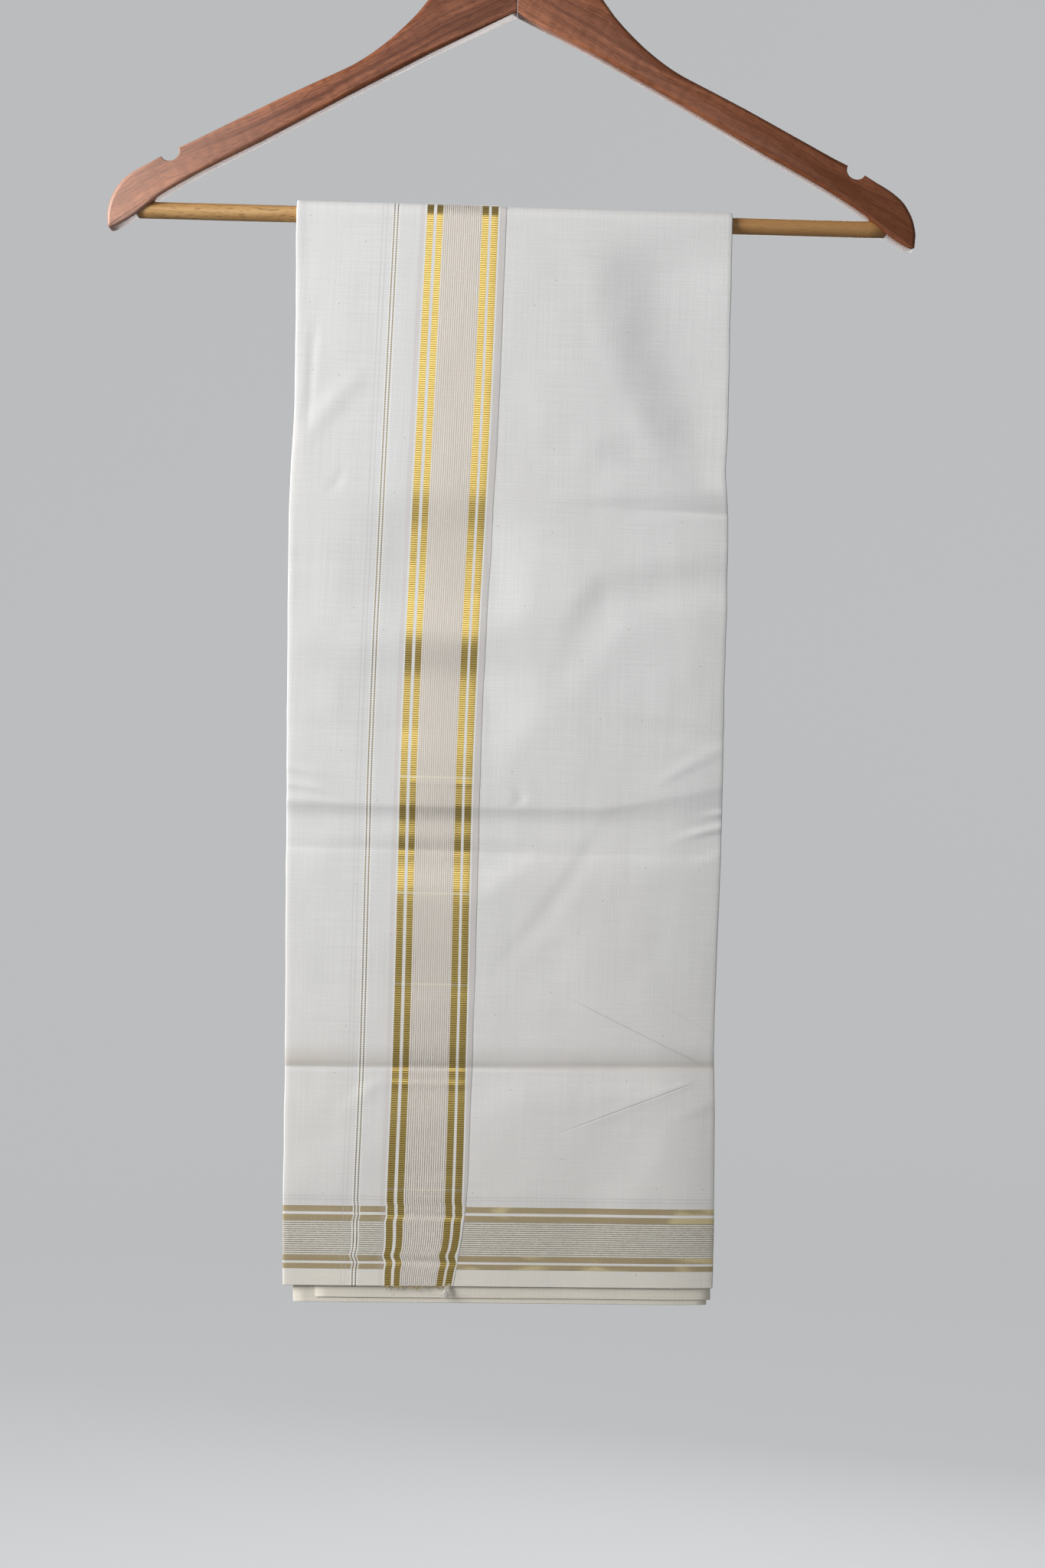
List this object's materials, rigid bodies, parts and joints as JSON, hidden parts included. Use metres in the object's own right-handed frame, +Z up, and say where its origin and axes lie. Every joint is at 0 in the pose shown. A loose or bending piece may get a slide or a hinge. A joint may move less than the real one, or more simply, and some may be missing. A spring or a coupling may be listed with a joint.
{
  "type": "dhoti cloth on wooden hanger",
  "caption": "Off-white cotton dhoti folded lengthwise into a flat bundle and draped over the bar of a wooden hanger, the outer flap showing a broad woven gold border.",
  "frame": {"origin": "inside top of the hanger's hook, where a rail bears", "axes": "+X to the right as the front is seen, -Y out of the front of the cloth, +Z up"},
  "size_m": [0.4472, 0.0198, 0.8224],
  "materials": {
    "varnished_wood": "satin varnish, reddish brown",
    "pale_wood": "smooth, lightly varnished, honey coloured",
    "hook_steel": "bright plated wire",
    "bordered_cotton": "plain-woven off-white cotton with a woven gold border",
    "cotton": "plain-woven off-white cotton with a woven gold band near the cut end",
    "folded_cotton": "plain-woven off-white cotton, folded in layers"
  },
  "bodies": {
    "root": {"border_flap": "bordered_cotton", "front_panel": "cotton", "inner_folds": "folded_cotton", "hanger_arm_left": "varnished_wood", "hanger_arm_right": "varnished_wood", "hanger_bar": "pale_wood", "hanger_hook": "hook_steel"}
  },
  "joints": []
}
